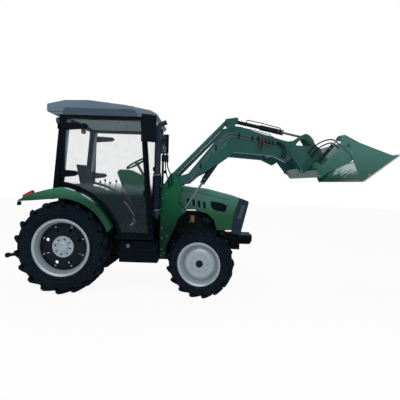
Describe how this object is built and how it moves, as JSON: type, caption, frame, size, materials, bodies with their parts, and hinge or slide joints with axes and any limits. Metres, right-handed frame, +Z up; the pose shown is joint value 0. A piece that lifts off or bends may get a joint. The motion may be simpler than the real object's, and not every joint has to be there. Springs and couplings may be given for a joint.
{
  "type": "farm tractor with front loader",
  "caption": "Cab tractor with a front loader and an opening clam bucket on raised arms; the wheels, steering, doors, boom, bucket tilt and clam move.",
  "frame": {"origin": "on the ground under the middle of the machine's length and width", "axes": "+X forward towards the bucket, +Y to the machine's left, +Z up"},
  "size_m": [6.048, 2.1896, 2.944],
  "materials": {
    "green_paint": "satin",
    "hood_paint": "gloss",
    "black_paint": "satin",
    "dark_steel": "satin",
    "cast_grey": "matte",
    "rim_paint": "satin",
    "hose_rubber": "matte",
    "tyre_rubber": "matte",
    "black_plastic": "matte",
    "roof_plastic": "satin",
    "tinted_glass": "gloss",
    "rod_chrome": "polished",
    "seat_cover": "matte",
    "red_lens": "gloss",
    "lamp_body": "gloss",
    "pin_steel": "brushed"
  },
  "bodies": {
    "tractor": {"rear_axle_case": "cast_grey", "front_frame": "black_paint", "engine_block": "cast_grey", "front_axle": "cast_grey", "hood": "hood_paint", "nose_grille": "black_plastic", "hood_panels": "black_plastic", "rear_fenders": "green_paint", "cab_base": "black_plastic", "cab_frame": "black_paint", "cab_roof": "roof_plastic", "windscreen": "tinted_glass", "rear_window": "tinted_glass", "door_hinges": "black_paint", "driver_seat": "seat_cover", "dash_console": "black_plastic", "side_boxes": "black_paint", "exhaust_stack": "black_paint", "mirrors": "black_plastic", "lamps": "lamp_body", "tail_lamps": "red_lens", "hitch_links": "black_paint", "drawbar": "black_paint", "loader_towers": "green_paint", "loader_valve": "dark_steel", "valve_hoses": "hose_rubber"},
    "rear_wheel_left": {"rear_tyre_left": "tyre_rubber", "rear_rim_left": "rim_paint"},
    "rear_wheel_right": {"rear_tyre_right": "tyre_rubber", "rear_rim_right": "rim_paint"},
    "steering_knuckle_left": {"knuckle_left": "cast_grey"},
    "steering_knuckle_right": {"knuckle_right": "cast_grey"},
    "front_wheel_left": {"front_tyre_left": "tyre_rubber", "front_rim_left": "rim_paint"},
    "front_wheel_right": {"front_tyre_right": "tyre_rubber", "front_rim_right": "rim_paint"},
    "track_rod": {"tie_rod": "black_paint"},
    "hand_wheel": {"steering_wheel": "black_plastic"},
    "door_left": {"door_frame_left": "black_paint", "door_glass_left": "tinted_glass"},
    "door_right": {"door_frame_right": "black_paint", "door_glass_right": "tinted_glass"},
    "loader_boom": {"boom": "green_paint", "boom_pipes": "pin_steel", "boom_coupler": "dark_steel", "coupler_hoses": "hose_rubber"},
    "cranks": {"bell_cranks": "green_paint"},
    "crank_pin_pair": {"crank_pins": "pin_steel"},
    "levelling_rods": {"level_rods": "green_paint"},
    "tilt_cylinders": {"tilt_barrels": "dark_steel"},
    "tilt_pistons": {"tilt_rods": "rod_chrome"},
    "lift_cylinders": {"lift_barrels": "dark_steel"},
    "lift_pistons": {"lift_rods": "rod_chrome"},
    "carrier_pin_pair": {"carrier_pins": "pin_steel"},
    "bucket": {"tool_carrier": "green_paint", "bucket_blade": "green_paint", "bucket_hoses": "hose_rubber"},
    "clam": {"bucket_clam": "green_paint"},
    "clam_cylinders": {"clam_barrels": "dark_steel"},
    "clam_pistons": {"clam_rods": "rod_chrome"}
  },
  "joints": [
    {"name": "rear_left_spin", "type": "hinge", "parent": "tractor", "child": "rear_wheel_left", "pos_m": [-1.944, 0.685, 0.7075], "axis": [0, 1, 0], "continuous": true},
    {"name": "rear_right_spin", "type": "hinge", "parent": "tractor", "child": "rear_wheel_right", "pos_m": [-1.944, -0.685, 0.7075], "axis": [0, 1, 0], "continuous": true},
    {"name": "steer_left", "type": "hinge", "parent": "tractor", "child": "steering_knuckle_left", "pos_m": [0.192, 0.585, 0.515], "axis": [0, 0, 1], "range_deg": [-31, 59]},
    {"name": "steer_right", "type": "hinge", "parent": "tractor", "child": "steering_knuckle_right", "pos_m": [0.192, -0.585, 0.515], "axis": [0, 0, 1], "range_deg": [-31, 59]},
    {"name": "tie_rod_pin", "type": "hinge", "parent": "steering_knuckle_left", "child": "track_rod", "pos_m": [0.04646, 0.62129, 0.4], "axis": [0, 0, 1], "range_deg": [-59, 31]},
    {"name": "hand_wheel_turn", "type": "hinge", "parent": "tractor", "child": "hand_wheel", "pos_m": [-0.972, 0, 2.032], "axis": [-0.5, 0, 0.866], "range_deg": [-372, 708]},
    {"name": "front_left_spin", "type": "hinge", "parent": "steering_knuckle_left", "child": "front_wheel_left", "pos_m": [0.2295, 0.7354, 0.515], "axis": [0.2419, 0.9703, 0], "continuous": true},
    {"name": "front_right_spin", "type": "hinge", "parent": "steering_knuckle_right", "child": "front_wheel_right", "pos_m": [0.1545, -0.7354, 0.515], "axis": [0.2419, 0.9703, 0], "continuous": true},
    {"name": "door_left_hinge", "type": "hinge", "parent": "tractor", "child": "door_left", "pos_m": [-2.014, 0.795, 1.825], "axis": [0, 0, 1], "range_deg": [0, 75]},
    {"name": "door_right_hinge", "type": "hinge", "parent": "tractor", "child": "door_right", "pos_m": [-2.014, -0.795, 1.825], "axis": [0, 0, -1], "range_deg": [0, 75]},
    {"name": "boom_lift", "type": "hinge", "parent": "tractor", "child": "loader_boom", "pos_m": [-0.258, 0.5, 1.749], "axis": [0, -1, 0], "range_deg": [-63, 27]},
    {"name": "crank_follow", "type": "hinge", "parent": "loader_boom", "child": "cranks", "pos_m": [0.561, 0.5, 2.616], "axis": [0, -1, 0], "range_deg": [-27, 63]},
    {"name": "level_rod_follow", "type": "hinge", "parent": "cranks", "child": "levelling_rods", "pos_m": [0.505, 0.5, 2.718], "axis": [0, -1, 0], "range_deg": [-63, 27]},
    {"name": "crank_pin_follow", "type": "hinge", "parent": "cranks", "child": "crank_pin_pair", "pos_m": [0.647, 0.5, 2.742], "axis": [0, -1, 0], "range_deg": [-60.8, 26.1]},
    {"name": "tilt_cylinder_swing", "type": "hinge", "parent": "crank_pin_pair", "child": "tilt_cylinders", "pos_m": [0.647, 0.38, 2.742], "axis": [0, 1, 0], "range_deg": [-4.1, 3.6]},
    {"name": "tilt_piston_slide", "type": "slide", "parent": "tilt_cylinders", "child": "tilt_pistons", "axis": [0.9814, 0, -0.1918], "range_m": [-0.193, 0.169]},
    {"name": "carrier_pin_follow", "type": "hinge", "parent": "loader_boom", "child": "carrier_pin_pair", "pos_m": [1.54, 0.5, 2.281], "axis": [0, -1, 0], "range_deg": [-21.2, 49.3]},
    {"name": "bucket_tilt", "type": "hinge", "parent": "carrier_pin_pair", "child": "bucket", "pos_m": [1.54, 0.5, 2.281], "axis": [0, 1, 0], "range_deg": [-40, 35]},
    {"name": "lift_cylinder_swing", "type": "hinge", "parent": "loader_boom", "child": "lift_cylinders", "pos_m": [0.526, 0.5, 2.321], "axis": [0, -1, 0], "range_deg": [-5.1, 11.8]},
    {"name": "lift_piston_slide", "type": "slide", "parent": "lift_cylinders", "child": "lift_pistons", "axis": [-0.5458, 0, -0.8379], "range_m": [-0.417, 0.179]},
    {"name": "clam_open", "type": "hinge", "parent": "bucket", "child": "clam", "pos_m": [2.259, 0.9, 2.354], "axis": [0, -1, 0], "range_deg": [-60, 15]},
    {"name": "clam_cylinder_swing", "type": "hinge", "parent": "bucket", "child": "clam_cylinders", "pos_m": [1.814, 0.862, 2.061], "axis": [0, -1, 0], "range_deg": [-5.5, 1.4]},
    {"name": "clam_piston_slide", "type": "slide", "parent": "clam_cylinders", "child": "clam_pistons", "axis": [0.6191, 0, 0.7853], "range_m": [-0.04, 0.157]}
  ],
  "couplings": [
    {"joint": "steer_right", "follows": "steer_left", "ratio": 1},
    {"joint": "tie_rod_pin", "follows": "steer_left", "ratio": -1},
    {"joint": "hand_wheel_turn", "follows": "steer_left", "ratio": 12},
    {"joint": "crank_follow", "follows": "boom_lift", "ratio": -1},
    {"joint": "level_rod_follow", "follows": "boom_lift", "ratio": 1},
    {"joint": "crank_pin_follow", "follows": "boom_lift", "ratio": 0.965},
    {"joint": "tilt_cylinder_swing", "follows": "bucket_tilt", "ratio": 0.1},
    {"joint": "tilt_piston_slide", "follows": "bucket_tilt", "m_per_rad": 0.275},
    {"joint": "carrier_pin_follow", "follows": "boom_lift", "ratio": -0.78},
    {"joint": "lift_cylinder_swing", "follows": "boom_lift", "ratio": -0.185},
    {"joint": "lift_piston_slide", "follows": "boom_lift", "m_per_rad": 0.378},
    {"joint": "clam_cylinder_swing", "follows": "clam_open", "ratio": 0.09},
    {"joint": "clam_piston_slide", "follows": "clam_open", "m_per_rad": -0.149}
  ]
}
